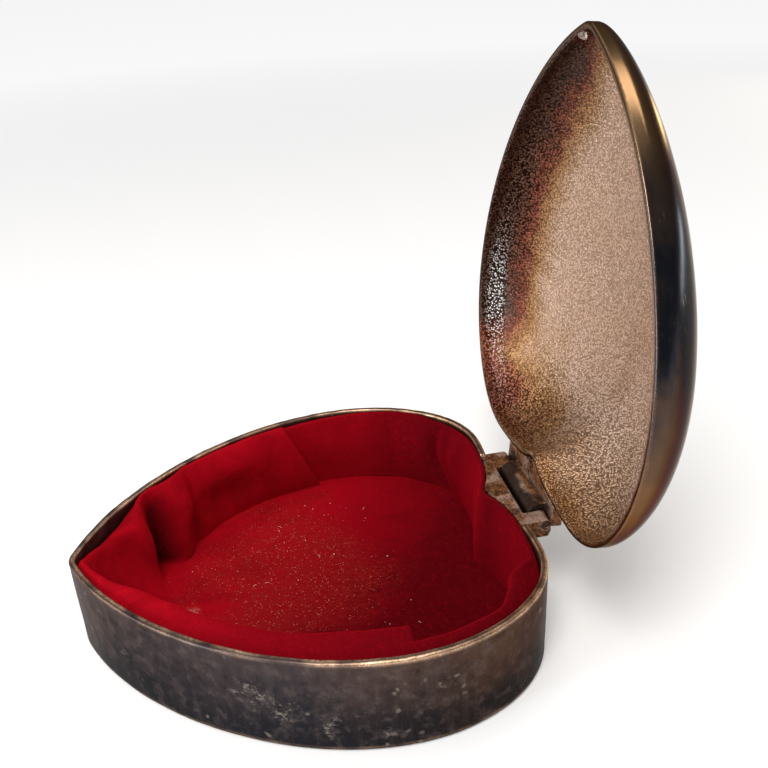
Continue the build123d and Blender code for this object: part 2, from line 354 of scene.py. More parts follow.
class Paint:
    """A material's node tree with short ways to add the nodes used here."""

    def __init__(self, name):
        self.material = bpy.data.materials.new(name)
        self.material.use_nodes = True
        self.tree = self.material.node_tree
        self.surface = self.tree.nodes["Principled BSDF"]

    def add(self, kind, **inputs):
        node = self.tree.nodes.new(kind)
        for key, value in inputs.items():
            self.feed(node.inputs[key], value)
        return node

    def feed(self, socket, value):
        if isinstance(value, bpy.types.NodeSocket):
            self.tree.links.new(value, socket)
        elif isinstance(value, (tuple, list)) and socket.type == "RGBA":
            socket.default_value = (*value[:3], 1.0)
        else:
            socket.default_value = value

    def set(self, **inputs):
        for key, value in inputs.items():
            self.feed(self.surface.inputs[key.replace("_", " ")], value)

    def position(self):
        return self.add("ShaderNodeTexCoord").outputs["Object"]

    def value_of(self, name):
        node = self.add("ShaderNodeAttribute")
        node.attribute_name = name
        return node.outputs["Fac"]

    def grain(self, pitch_mm, detail=3.0, roughness=0.5, vector=None, distortion=0.0):
        node = self.add("ShaderNodeTexNoise", Scale=1000.0 / pitch_mm, Detail=detail, Roughness=roughness,
                        Distortion=distortion)
        self.feed(node.inputs["Vector"], vector or self.position())
        return node.outputs["Fac"]

    def cells(self, pitch_mm, vector):
        return self.add("ShaderNodeTexVoronoi", Scale=1000.0 / pitch_mm, Vector=vector).outputs["Distance"]

    def range(self, value, low, high, to_low=0.0, to_high=1.0):
        node = self.add("ShaderNodeMapRange")
        for socket, number in zip(node.inputs, (value, low, high, to_low, to_high)):
            self.feed(socket, number)
        return node.outputs["Result"]

    def math(self, operation, a, b=0.0):
        node = self.add("ShaderNodeMath")
        node.operation = operation
        self.feed(node.inputs[0], a)
        self.feed(node.inputs[1], b)
        return node.outputs[0]

    def times(self, a, b):
        return self.math("MULTIPLY", a, b)

    def mix(self, share, a, b, how="MIX"):
        node = self.add("ShaderNodeMix")
        node.data_type = "RGBA"
        node.blend_type = how
        self.feed(node.inputs["Factor"], share)
        self.feed(node.inputs[6], a)
        self.feed(node.inputs[7], b)
        return node.outputs[2]

    def blend(self, share, a, b):
        node = self.add("ShaderNodeMix")
        self.feed(node.inputs["Factor"], share)
        self.feed(node.inputs[2], a)
        self.feed(node.inputs[3], b)
        return node.outputs[0]

    def split(self, vector):
        return self.add("ShaderNodeSeparateXYZ", Vector=vector).outputs

    def stretch(self, x=1.0, y=1.0, z=1.0, turn=(0.0, 0.0, 0.0)):
        node = self.add("ShaderNodeMapping", Vector=self.position())
        node.inputs["Scale"].default_value = (x, y, z)
        node.inputs["Rotation"].default_value = turn
        return node.outputs["Vector"]

    def wobbled(self, pitch_mm, reach_mm):
        """The position pushed about by noise, so that cells come out uneven."""
        push = self.add("ShaderNodeTexNoise", Scale=1000.0 / pitch_mm, Detail=2.0)
        self.feed(push.inputs["Vector"], self.position())
        node = self.add("ShaderNodeVectorMath")
        node.operation = "MULTIPLY_ADD"
        self.feed(node.inputs[0], push.outputs["Color"])
        node.inputs[1].default_value = (reach_mm * MM,) * 3
        self.feed(node.inputs[2], self.position())
        return node.outputs["Vector"]

    def near(self, place, reach_mm):
        """One at a place given in millimetres, fading to nothing at the reach."""
        node = self.add("ShaderNodeVectorMath", Vector=self.position())
        node.operation = "DISTANCE"
        node.inputs[1].default_value = tuple(k * MM for k in place)
        return self.range(node.outputs["Value"], reach_mm * MM, 0.35 * reach_mm * MM)

    def bump(self, height, strength, depth_mm, under=None):
        node = self.add("ShaderNodeBump", Strength=strength, Distance=depth_mm * MM, Height=height)
        if under is not None:
            self.feed(node.inputs["Normal"], under)
        return node.outputs["Normal"]


def scratches(p, turn, pitch, cut):
    """Thin, broken hairlines running one way."""
    lines = p.grain(pitch, 2.0, 0.5, p.stretch(1.0, 1.0, 0.1, turn))
    breaks = p.grain(9.0, 1.0)
    thin = p.range(lines, cut, cut + 0.02)
    return p.times(thin, p.range(breaks, 0.5, 0.62))


def scuffs(p, pitch, patch_pitch, patch_cut):
    """Broken scuffs gathered in a few patches."""
    marks = p.grain(pitch, 6.0, 0.75, p.stretch(1.0, 0.55, 1.3, (0.5, 0.0, 0.0)))
    marks = p.range(marks, 0.6, 0.68)
    patches = p.range(p.grain(patch_pitch, 1.0), patch_cut, patch_cut + 0.07)
    return p.times(marks, patches)


# Rubbed places on the tray's wall: where, and how far they reach.
SCUFFS = (
    ((36.8, -14.0, 11.5), 4.6),
    ((39.2, -8.5, 9.0), 4.2),
    ((42.2, -1.0, 6.0), 3.4),
    ((44.9, 12.0, 15.5), 1.6),
    ((44.6, 19.0, 13.5), 1.8),
    ((44.9, 9.0, 4.0), 2.0),
    ((16.0, -34.0, 9.0), 3.0),
    ((-41.0, -4.0, 10.0), 4.0),
    ((-24.0, 44.0, 8.0), 4.5),
    ((-34.0, -18.0, 13.0), 3.0),
)


def base_plating():
    """Silver plate gone dark: bluish towards the tip, brown towards the lobes, with a painted highlight high
    on the tip's wall and a brassy worn rim.
    """
    p = Paint("base_plating")
    y, z = p.split(p.position())[1:3]
    clouds = p.grain(11.0, 5.0, 0.6)
    mottle = p.grain(2.6, 6.0, 0.7)
    fine = p.grain(0.45, 4.0, 0.7)
    streaks = p.grain(2.2, 5.0, 0.65, p.stretch(1.0, 1.0, 0.12))
    upper = p.range(p.math("ADD", z, p.range(clouds, 0.3, 0.7, -0.006, 0.006)), 0.004, 0.019)
    cold = p.mix(upper, (0.013, 0.013, 0.018), (0.052, 0.038, 0.040))
    warm = p.mix(upper, (0.015, 0.007, 0.004), (0.078, 0.034, 0.014))
    colour = p.mix(p.range(y, -0.006, 0.040), cold, warm)
    # Painted highlight: lighter greyish-brown high on the wall at the tip.
    tip_highlight = p.times(p.range(y, -0.030, -0.044, 0.0, 0.6), upper)
    colour = p.mix(tip_highlight, colour, (0.10, 0.062, 0.048))
    colour = p.mix(p.range(mottle, 0.5, 0.72, 0.0, 0.55), colour, (0.135, 0.100, 0.092))
    colour = p.mix(p.range(mottle, 0.46, 0.28, 0.0, 0.65), colour, (0.006, 0.005, 0.006))
    colour = p.mix(p.range(streaks, 0.5, 0.7, 0.0, 0.2), colour, (0.12, 0.09, 0.08))
    kept = p.range(p.grain(13.0, 1.0), 0.52, 0.57)
    spot = p.times(p.range(p.cells(3.6, p.wobbled(1.6, 1.6)), 0.17, 0.08), kept)
    worn_patch = 0.0
    for place, reach in SCUFFS:
        worn_patch = p.math("MAXIMUM", worn_patch, p.near(place, reach))
    flakes = p.range(p.grain(2.0, 7.0, 0.78, p.stretch(1.0, 1.0, 1.25)), 0.525, 0.60)
    marks = p.math("MAXIMUM", p.times(spot, 0.7), p.times(flakes, worn_patch))
    marks = p.math("MAXIMUM", marks, p.times(scuffs(p, 1.5, 17.0, 0.60), 0.6))
    colour = p.mix(p.times(marks, 0.75), colour, (0.30, 0.25, 0.21))
    wear = p.value_of("wear")
    patchy = p.times(wear, p.range(p.grain(1.4, 4.0, 0.65), 0.22, 0.42))
    brass = p.mix(p.range(fine, 0.35, 0.65), (0.30, 0.17, 0.10), (0.74, 0.50, 0.33))
    colour = p.mix(patchy, colour, brass)
    roughness = p.blend(marks, p.range(mottle, 0.3, 0.7, 0.34, 0.52), 0.8)
    roughness = p.blend(patchy, roughness, 0.42)
    relief = p.bump(fine, 0.25, 0.04)
    relief = p.bump(mottle, 0.3, 0.1, relief)
    p.set(Base_Color=colour, Metallic=0.95, Roughness=roughness, Normal=relief)
    p.set(Specular_Tint=(0.35, 0.32, 0.30), Coat_Weight=0.14, Coat_Roughness=0.14)
    return p.material


def lid_plating():
    """Dark, still polished plate outside, with a painted warm reflection low down and a painted gold tint
    near the top; tan cast pebbles inside, brown where the tarnish is deep, with a painted highlight in one
    belt.
    """
    p = Paint("lid_plating")
    z = p.split(p.position())[2]
    clouds = p.grain(14.0, 5.0, 0.6)
    fine = p.grain(0.4, 4.0, 0.7)
    drift = p.math("ADD", z, p.range(clouds, 0.3, 0.7, -0.009, 0.009))
    # Painted reflection: warm brown low on the outside, as of a wooden table, going to bluish-black higher
    # up.
    outside = p.mix(p.range(drift, 0.038, 0.066), (0.17, 0.085, 0.038), (0.020, 0.022, 0.029))
    # A painted gold tint near the top, so that the highlights there come out gold.
    upper = p.math("ADD", z, p.range(clouds, 0.3, 0.7, -0.004, 0.004))
    outside = p.mix(p.range(upper, 0.084, 0.099), outside, (0.15, 0.090, 0.046))
    smears = p.range(p.grain(4.0, 6.0, 0.75, p.stretch(1.0, 1.0, 0.3)), 0.5, 0.75, 0.0, 0.25)
    outside = p.mix(smears, outside, (0.16, 0.10, 0.06))
    lines = scratches(p, (-0.5, 0.2, 0.0), 0.7, 0.69)
    outside = p.mix(p.times(lines, 0.2), outside, (0.4, 0.34, 0.28))
    inside = p.value_of("inside")
    height = p.value_of("height")
    tarnish = p.value_of("tarnish")
    stain = p.times(tarnish, p.range(p.grain(5.0, 5.0, 0.7), 0.3, 0.7, 0.85, 1.15))
    crown = p.range(p.cells(0.45, p.wobbled(1.1, 0.15)), 0.6, 0.15)
    rise = p.blend(0.3, crown, height)
    hue = p.range(p.grain(9.0, 3.0, 0.6), 0.35, 0.65)
    lining = p.mix(p.times(hue, 0.25), (0.66, 0.48, 0.37), (0.62, 0.42, 0.26))
    lining = p.mix(p.range(stain, 0.05, 0.38), lining, (0.48, 0.27, 0.12))
    lining = p.mix(p.range(stain, 0.36, 0.62, 0.0, 0.85), lining, (0.24, 0.050, 0.036))
    lining = p.mix(p.range(stain, 0.60, 0.92), lining, (0.125, 0.062, 0.040))
    # Painted highlight: pale bluish-grey on the pebbles' tops in one belt, standing in for a window's
    # reflection.
    highlight_paint = p.times(p.value_of("painted_highlight"), p.range(rise, 0.3, 0.6))
    lining = p.mix(highlight_paint, lining, (0.62, 0.70, 0.72))
    crevice = p.mix(p.range(stain, 0.0, 0.7), (0.56, 0.50, 0.45), (0.14, 0.11, 0.10))
    lining = p.mix(p.range(rise, 0.5, 0.12), lining, p.mix(1.0, lining, crevice, "MULTIPLY"))
    colour = p.mix(inside, outside, lining)
    roughness = p.blend(inside, p.range(clouds, 0.3, 0.7, 0.15, 0.26), p.range(stain, 0.0, 1.0, 0.43, 0.34))
    relief = p.bump(fine, p.blend(inside, 0.05, 0.3), 0.04)
    relief = p.bump(p.times(crown, inside), 1.0, 0.12, relief)
    edge_tint = p.mix(inside, (0.30, 0.24, 0.19), (0.9, 0.85, 0.8))
    p.set(Base_Color=colour, Metallic=0.95, Roughness=roughness, Normal=relief, Specular_Tint=edge_tint)
    p.set(Coat_Weight=p.blend(inside, 0.12, p.range(stain, 0.3, 1.0, 0.03, 0.10)), Coat_Roughness=0.2)
    return p.material


def hinge_casting():
    """Rough brown casting, paler on its worn top, nearly black in its pits, and as dark where shade is
    painted in its gaps.
    """
    p = Paint("hinge_casting")
    blotch = p.grain(1.6, 6.0, 0.75)
    fine = p.grain(0.5, 5.0, 0.75)
    pit_and_shade = p.value_of("pit_and_shade")
    worn = p.value_of("worn")
    colour = p.mix(p.range(blotch, 0.36, 0.62), (0.022, 0.009, 0.005), (0.32, 0.135, 0.055))
    colour = p.mix(p.times(worn, p.range(fine, 0.35, 0.55)), colour, (0.54, 0.39, 0.31))
    # Dark pits, and painted shade in the gaps, the bores and round the lid's knuckle.
    colour = p.mix(pit_and_shade, colour, (0.02, 0.012, 0.009))
    colour = p.mix(p.range(fine, 0.49, 0.58, 0.0, 0.9), colour, (0.022, 0.010, 0.006))
    relief = p.bump(fine, 0.9, 0.14)
    p.set(Base_Color=colour, Metallic=0.55, Roughness=p.range(blotch, 0.3, 0.7, 0.7, 0.5), Normal=relief)
    p.set(Specular_IOR_Level=0.1)
    return p.material


def pin_metal():
    """Dull dark steel with a little rust."""
    p = Paint("pin_metal")
    blotch = p.grain(0.8, 5.0, 0.7)
    colour = p.mix(p.range(blotch, 0.4, 0.65), (0.020, 0.013, 0.010), (0.085, 0.048, 0.030))
    p.set(Base_Color=colour, Metallic=0.8, Roughness=0.55, Normal=p.bump(blotch, 0.5, 0.06))
    return p.material


def card_stock():
    """Plain grey-brown board."""
    p = Paint("card")
    fibres = p.grain(0.6, 5.0, 0.7, p.stretch(1.0, 0.3, 1.0))
    colour = p.mix(fibres, (0.36, 0.30, 0.22), (0.5, 0.44, 0.35))
    p.set(Base_Color=colour, Roughness=0.9, Normal=p.bump(fibres, 0.4, 0.1))
    return p.material


def velvet(name, worn):
    """Crimson pile with painted shade towards the lobes, along the near wall and in the tip's pocket; where
    it is worn, it is also rubbed and dusty.
    """
    p = Paint(name)
    x, y = p.split(p.position())[:2]
    stroke = p.grain(8.0, 4.0, 0.6, p.stretch(1.0, 0.6, 1.0), 0.6)
    pile = p.grain(0.28, 3.0, 0.75)
    tuft = p.grain(0.9, 5.0, 0.75)
    colour = p.mix(p.range(stroke, 0.34, 0.68), (0.21, 0.0010, 0.0050), (0.33, 0.0018, 0.0080))
    # Painted shade of the open lid: darker towards the lobes and towards the near side.
    across = p.math("ADD", y, p.times(x, 0.7 if worn else 0.3))
    painted_shade = p.range(p.math("ADD", across, p.range(stroke, 0.3, 0.7, -0.009, 0.009)), -0.012, 0.026)
    colour = p.mix(p.times(painted_shade, 0.94 if worn else 0.62), colour, (0.038, 0.0005, 0.0018))
    if not worn:
        # Painted shade on the walls: darker still along the near wall and towards the lobes.
        colour = p.mix(p.range(x, 0.016, 0.030, 0.0, 0.42), colour, (0.080, 0.0008, 0.0035))
        colour = p.mix(p.range(y, 0.020, 0.040, 0.0, 0.75), colour, (0.055, 0.0006, 0.0026))
        # Painted shade in the pocket beside the tip's flap.
        colour = p.mix(p.value_of("pocket_shade"), colour, (0.030, 0.0004, 0.0014))
    colour = p.mix(p.range(tuft, 0.52, 0.75, 0.0, 0.35), colour, (0.36, 0.004, 0.010))
    colour = p.mix(p.range(pile, 0.48, 0.3, 0.0, 0.55), colour, (0.045, 0.0004, 0.0014))
    if worn:
        rubbed = p.times(p.value_of("rubbed"), p.range(tuft, 0.35, 0.6))
        colour = p.mix(p.times(rubbed, 0.55), colour, (0.17, 0.011, 0.008))
        crumbs = p.range(p.cells(0.55, p.wobbled(1.4, 0.8)), 0.26, 0.12)
        kept = p.times(p.value_of("rubbed"), p.range(p.grain(1.3, 4.0, 0.75), 0.47, 0.56))
        ragged = p.range(p.grain(0.6, 5.0, 0.75), 0.42, 0.56)
        bald = p.times(p.near((1.2, -22.9, FLOOR_Z), 1.7), ragged)
        colour = p.mix(p.times(bald, 0.55), colour, (0.40, 0.20, 0.17))
        colour = p.mix(p.times(p.times(crumbs, kept), 0.7), colour, (0.62, 0.20, 0.13))
    relief = p.bump(pile, 0.8, 0.2)
    relief = p.bump(tuft, 0.35, 0.25, relief)
    p.set(Base_Color=colour, Roughness=0.95, Normal=relief, Sheen_Weight=0.3, Sheen_Roughness=0.45)
    p.set(Sheen_Tint=(1.0, 0.004, 0.02), Specular_IOR_Level=0.02)
    return p.material


def solder():
    """Dull lumpy metal, dark in its hollows."""
    p = Paint("solder")
    colour = p.mix(p.range(p.grain(0.8, 4.0, 0.7), 0.4, 0.6), (0.12, 0.07, 0.05), (0.46, 0.38, 0.33))
    p.set(Base_Color=colour, Metallic=0.8, Roughness=0.5, Normal=p.bump(p.grain(0.5), 0.5, 0.08))
    return p.material


def lint():
    """Pale, matt fluff."""
    p = Paint("lint")
    p.set(Base_Color=(0.72, 0.62, 0.55), Roughness=0.9)
    return p.material


BASE_PLATING = base_plating()
LID_PLATING = lid_plating()
HINGE_CASTING = hinge_casting()
PIN_METAL = pin_metal()
SOLDER = solder()
CARD = card_stock()
VELVET_FLOOR = velvet("velvet_floor", True)
VELVET_WALL = velvet("velvet_wall", False)
LINT = lint()


def paint(piece, material):
    """Gives the whole piece one material."""
    piece.data.materials.clear()
    piece.data.materials.append(material)


def install(piece, material, body, node=None):
    """Gives a piece its material and body, and hides the CAD node that it stands for."""
    paint(piece, material)
    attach(piece, body)
    if node:
        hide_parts(node)


# --- Base shell ---

def base_shell():
    """The cast tray: a dented wall, a rounded worn rim and a low stretch where the hinge casting sits."""
    count = 1100
    along = np.linspace(0, ROUND, count, endpoint=False)
    points, outward = outline_at(along)
    in_cleft = smoothstep(PLATE_HALF_WIDTH + 0.12, PLATE_HALF_WIDTH - 0.12, np.abs(points[:, 0]))
    in_cleft *= points[:, 1] > LOBE_Y / 2
    handled = smoothstep(-8.0, 14.0, points[:, 1])
    top = RIM_Z - in_cleft * (RIM_Z - PLATE_FOOT_Z)
    rim = inset_ring(along, 0, RIM_Z)
    crest = top + 0.05 * noise(rim, 6.0, 31) + 0.03 * noise(rim, 1.7, 33) - 0.04
    rings = []
    wear = []

    def add(inset, z, worn=0.0, dents=0.0):
        ring = inset_ring(along, inset, z)
        if dents:
            slow = noise(ring, 22.0, 3) * 0.10 + noise(ring, 7.0, 5) * 0.045 + noise(ring, 2.2, 9) * 0.015
            ring[:, :2] += outward * (slow * dents)[:, None]
        rings.append(ring)
        nibble = 0.75 + 0.5 * noise(ring, 2.5, 21)
        wear.append(np.clip(worn * nibble, 0, 1) * (1 - in_cleft))

    def add_flat(ring, sizes, z):
        for size in sizes:
            rings.append(shrunk_ring(ring, size, MIDDLE, z))
            wear.append(np.zeros(count))

    foot = inset_ring(along, BASE_DRAFT + BASE_EDGE_RADIUS, 0.0)
    add_flat(foot, (0.02, 0.15, 0.3, 0.45, 0.6, 0.75, 0.88, 0.96), 0.0)
    for turn in quarter(7):
        inset = BASE_DRAFT + BASE_EDGE_RADIUS * (1 - math.sin(turn))
        add(inset, BASE_EDGE_RADIUS * (1 - math.cos(turn)), 0.25 * math.sin(turn), 0.5)
    wall_rows = 46
    for step in range(1, wall_rows):
        share = step / wall_rows
        z = BASE_EDGE_RADIUS + share * (top - RIM_BEVEL - BASE_EDGE_RADIUS)
        worn = 0.8 * handled * smoothstep(0.965, 1.0, share)
        add(BASE_DRAFT * (1 - z / RIM_Z), z, worn, 1.0)
    for turn in quarter(7):
        inset = RIM_BEVEL * (1 - math.cos(turn))
        add(inset, crest - RIM_BEVEL * (1 - math.sin(turn)), 0.2 + 0.8 * handled, 0.8)
    for share in (0.25, 0.5, 0.75):
        inset = RIM_BEVEL + share * (BASE_WALL - RIM_BEVEL - RIM_INNER_EDGE)
        groove = 0.03 * math.sin(share * math.pi)
        add(inset, crest - groove, 1.0 - 0.75 * handled)
    for turn in quarter(4):
        inset = BASE_WALL - RIM_INNER_EDGE * math.cos(turn)
        add(inset, crest - RIM_INNER_EDGE * (1 - math.cos(turn)), 1.0)
    for share in (0.96, 0.9, 0.8, 0.6, 0.4, 0.2, 0.0):
        z = CARD_FOOT_Z + share * (top - CARD_FOOT_Z)
        add(wall_inset(z), z, 0.1 * share)
    add_flat(rings[-1], (0.9, 0.75, 0.6, 0.45, 0.3, 0.15, 0.02), CARD_FOOT_Z)
    piece = capped_rings("tray", rings, {"wear": np.concatenate(wear)})
    install(piece, BASE_PLATING, "base", "base_shell")


# --- Hinge castings ---

def softened_copy(name, node):
    """A CAD node as a fine mesh with softened edges."""
    piece = bpy.data.objects.new(name, frame["nodes"][node].data.copy())
    bpy.context.scene.collection.objects.link(piece)
    remesh = piece.modifiers.new("remesh", "REMESH")
    remesh.mode = "VOXEL"
    remesh.voxel_size = CASTING_VOXEL * MM
    remesh.use_smooth_shade = True
    soften = piece.modifiers.new("soften", "SMOOTH")
    soften.factor = 0.5
    soften.iterations = 4
    apply_modifiers(piece)
    return piece


def casting(name, node, body, worn_way):
    """A CAD casting with a grainy skin, worn where it faces one way, dark in its pits, and with painted shade
    in its gaps, bores and round the lid's knuckle.
    """
    piece = softened_copy(name, node)
    points, normals = vectors_of(piece, "co") / MM, vectors_of(piece, "normal")
    grain = rough(points, 1.3, 3, 41)
    pits = smoothstep(0.85, 1.25, noise(points, 0.45, 47) + 0.45 * noise(points, 2.4, 53))
    push = CASTING_GRAIN * (0.55 * grain - 1.6 * pits) - 0.03
    set_points(piece, points + normals * push[:, None])
    worn = smoothstep(0.6, 0.98, normals @ np.array(worn_way))
    worn *= smoothstep(-0.3, 0.7, rough(points, 3.5, 3, 61))
    across = np.abs(points[:, 0])
    reach = np.hypot(points[:, 1] - AXIS_Y, points[:, 2] - AXIS_Z)
    # Painted shade on the faces that look into the slot's gap round the knuckle, near the axis.
    inner = smoothstep(PLATE_HALF_WIDTH - 4.0, PLATE_HALF_WIDTH - 4.6, np.abs(points[:, 0] - 1.0))
    low = smoothstep(RIM_Z - 0.2, RIM_Z - 1.6, points[:, 2])
    gap_shade = inner * low * smoothstep(1.8, 2.2, reach) * smoothstep(4.2, 3.6, reach)
    if body == "lid":
        # On the lid's knuckle, painted shade on every face except those turned up and back.
        knuckle = smoothstep(PLATE_HALF_WIDTH, PLATE_HALF_WIDTH - 3.5, across) * smoothstep(3.4, 2.6, reach)
        rear_top = 0.85 * normals[:, 2] + 0.5 * normals[:, 1] + 0.25 * noise(points, 2.0, 57)
        pits = np.maximum(pits, 0.95 * knuckle * (1 - smoothstep(0.5, 0.9, rear_top)))
    outer_face = smoothstep(0.7, 0.9, np.abs(normals[:, 0])) * (across > PLATE_HALF_WIDTH - 2.0)
    round_pin = np.exp(-((reach - PIN_RADIUS - 0.45) / 0.16) ** 2) * outer_face
    # Painted shade in the gap between the pin and its bore.
    bore_shade = smoothstep(PIN_RADIUS + 0.30, PIN_RADIUS + 0.05, reach) * outer_face
    give_values(piece.data, {
        "pit_and_shade": np.maximum.reduce([pits, gap_shade, bore_shade]),
        "worn": np.maximum(worn, 0.7 * round_pin),
    })
    piece.data.shade_smooth()
    install(piece, HINGE_CASTING, body, node)


# --- Lid ---

def dome_ring(ring, size, depth):
    """One ring of the puffed dome over the closed lid's rim."""
    rise = (1 - size ** DOME_SHOULDER) ** (1 / DOME_ROUND)
    z = LID_RIM_Z + LID_UPRIGHT + (depth - LID_UPRIGHT) * rise
    ring = evened(ring, DOME_EVENING * (1 - size) ** 0.7)
    return shrunk_ring(ring, size, (0, DOME_CENTRE_Y), z)


def dome_sizes(rows, smallest):
    """Sizes of a dome's rings from its rim to its crown, closest together at the rim."""
    return [math.cos(math.acos(smallest) * row / (rows - 1)) for row in range(rows)]


def lid_tarnish(ring):
    """How tarnished a ring of the closed lid is: along the left side, and at the tip, lobes and rim."""
    x, y, z = ring.T
    level = z + 0.8 * noise(ring, 9.0, 71) + 0.4 * noise(ring, 3.0, 72)
    band = np.clip((33.8 - level) / 8.0, 0, 1)
    band *= smoothstep(-4.0, -16.0, x + 14.0 * smoothstep(14.0, 30.0, y))
    band *= 1 - 0.6 * smoothstep(22.0, 34.0, y)
    lower = 0.24 * np.clip((37.0 - level) / 5.0, 0, 1)
    lower *= smoothstep(18.0, 30.0, y) * smoothstep(-10.0, -24.0, x)
    tip = smoothstep(-31.0, -41.0, y + 2.0 * noise(ring, 8.0, 73))
    lobes = smoothstep(30.0, 42.0, y + 2.0 * noise(ring, 8.0, 74))
    patches = smoothstep(0.5, 1.1, noise(ring, 13.0, 75)) * smoothstep(0.0, 20.0, y)
    edge = smoothstep(LID_RIM_Z + 6.0, LID_RIM_Z + 0.5, z)
    total = 0.95 * np.maximum(band, lower) + 0.6 * tip + 0.1 * edge + 0.26 * lobes + 0.12 * patches
    return np.clip(total, 0, 1)


def lid_painted_highlight(ring):
    """How much painted highlight a ring of the closed lid gets: in one belt on the left lobe's side."""
    x, y, z = ring.T
    belt = 1.3 * np.exp(-((z - 24.0) / 1.9) ** 4 - ((y - 21.0) / 12.0) ** 2)
    return np.minimum(belt, 1) * (x < 0)


def lid_shell():
    """The puffed lid: a smooth outside, a rounded rim and a pebbled inside."""
    count = 1200
    along = np.linspace(0, ROUND, count, endpoint=False)
    rings = []
    inside = []
    height = []

    def add(ring, is_inside, pebble=None):
        rings.append(ring)
        inside.append(np.full(count, is_inside))
        height.append(np.zeros(count) if pebble is None else pebble)

    def add_pebbled(ring, strength):
        pebble = smoothstep(0.75, 0.15, nearest_seed(ring, PEBBLE_PITCH, 95))
        way = ring - [0.0, DOME_CENTRE_Y, LID_RIM_Z - 12.0]
        way /= np.linalg.norm(way, axis=1)[:, None]
        add(ring - way * (PEBBLE_HEIGHT * strength * pebble)[:, None], 1.0, pebble)

    rim = inset_ring(along, 0.0, LID_RIM_Z)
    for size in reversed(dome_sizes(70, 0.02)):
        ring = dome_ring(rim, size, LID_DEPTH)
        slow = noise(ring, 26.0, 81) * 0.12 + noise(ring, 9.0, 83) * 0.03
        ring[:, 2] += slow * (1 - size ** 6)
        add(ring, 0.0)
    for share in (0.75, 0.5, 0.3):
        add(inset_ring(along, 0.0, LID_RIM_Z + share * LID_UPRIGHT), 0.0)
    for turn in quarter(6):
        inset = LID_EDGE_RADIUS * (1 - math.cos(turn))
        add(inset_ring(along, inset, LID_RIM_Z + LID_EDGE_RADIUS * (1 - math.sin(turn))), 0.1)
    for turn in quarter(6)[1:]:
        inset = LID_WALL - LID_EDGE_RADIUS * math.cos(turn)
        add(inset_ring(along, inset, LID_RIM_Z + LID_EDGE_RADIUS * (1 - math.cos(turn))), 1.0)
    for share in (0.3, 0.5, 0.75):
        add_pebbled(inset_ring(along, LID_WALL, LID_RIM_Z + share * LID_UPRIGHT), 0.4 + share * 0.6)
    inner_rim = inset_ring(along, LID_WALL, LID_RIM_Z)
    for size in dome_sizes(200, 0.006):
        add_pebbled(dome_ring(inner_rim, size, LID_DEPTH - LID_WALL), 1.0)
    piece = capped_rings("lid", [open_up(ring) for ring in rings], {
        "inside": np.concatenate(inside),
        "height": np.concatenate(height),
        "tarnish": np.concatenate([lid_tarnish(ring) for ring in rings]),
        "painted_highlight": np.concatenate([lid_painted_highlight(ring) for ring in rings]),
    })
    piece.data.flip_normals()
    install(piece, LID_PLATING, "lid", "lid_shell")


def lid_solder():
    """The little pale blob of solder inside the lid's tip."""
    grid = 40
    round_steps = np.linspace(0, 2 * math.pi, grid, endpoint=False)
    u, v = np.meshgrid(round_steps, np.linspace(0.05, math.pi - 0.05, grid))
    way = np.column_stack([
        (np.sin(v) * np.cos(u)).ravel(),
        (np.sin(v) * np.sin(u)).ravel(),
        np.cos(v).ravel(),
    ])
    lump = way * [2.2, 0.8, 0.42]
    lump *= (1 + 0.25 * rough(lump, 1.2, 2, 17))[:, None]
    centre = np.array([-2.6, TIP_Y + 2.7, LID_RIM_Z + 0.55])
    piece = capped_rings("lid_solder", list(open_up(lump + centre).reshape(grid, grid, 3)))
    piece.data.flip_normals()
    install(piece, SOLDER, "lid")


# --- Velvet ---

def floor_velvet():
    """The floor's velvet: flat on its card, slightly puffy, turned down at its edge, rubbed in the middle."""
    along = np.linspace(0, ROUND, 420, endpoint=False)
    rim = inset_ring(along, BASE_WALL + BASE_DRAFT + 0.3, 0)
    rings = []
    rubbed = []

    def add(ring):
        rings.append(ring)
        spot = np.hypot((ring[:, 0] + 6) / 26, (ring[:, 1] + 2) / 24)
        rubbed.append(smoothstep(1.25, 0.35, spot + 0.3 * noise(ring, 9.0, 103)))

    for size in (0.01, 0.4, 0.8, 0.97, 1.0):
        add(shrunk_ring(rim, size, MIDDLE, CARD_Z + 0.02))
    for inward in np.linspace(0, 0.99, 60):
        turned = 1 - smoothstep(0.0, 0.025, inward)
        ring = shrunk_ring(rim, 1 - inward, MIDDLE, 0)
        lift = 0.05 * noise(ring, 11.0, 105) + 0.03 * noise(ring, 3.0, 107)
        ring[:, 2] = CARD_Z + VELVET_THICKNESS - 0.08 - 0.5 * turned ** 2 + lift
        add(ring)
    piece = capped_rings("velvet_floor", rings, {"rubbed": np.concatenate(rubbed)})
    install(piece, VELVET_FLOOR, "base", "floor_velvet")


def eased(along, stations, column):
    """A value that flows smoothly through given stations (distance, values...)."""
    table = np.array(stations, float)
    where, values = table[:, 0], table[:, column]
    slopes = np.gradient(values, where)
    k = np.clip(np.searchsorted(where, along) - 1, 0, len(where) - 2)
    span = where[k + 1] - where[k]
    t = np.clip((along - where[k]) / span, 0, 1)
    a, b = values[k], values[k + 1]
    ma, mb = slopes[k] * span, slopes[k + 1] * span
    rise = t * t * (3 - 2 * t)
    return a + (b - a) * rise + ma * t * (1 - t) ** 2 * 0.6 - mb * t * t * (1 - t) * 0.6


def blurred(grid, passes):
    """Evens out a grid of points from row to row, its first and last rows staying put."""
    for _ in range(passes):
        grid[1:-1] = (grid[:-2] + 2 * grid[1:-1] + grid[2:]) / 4
    return grid


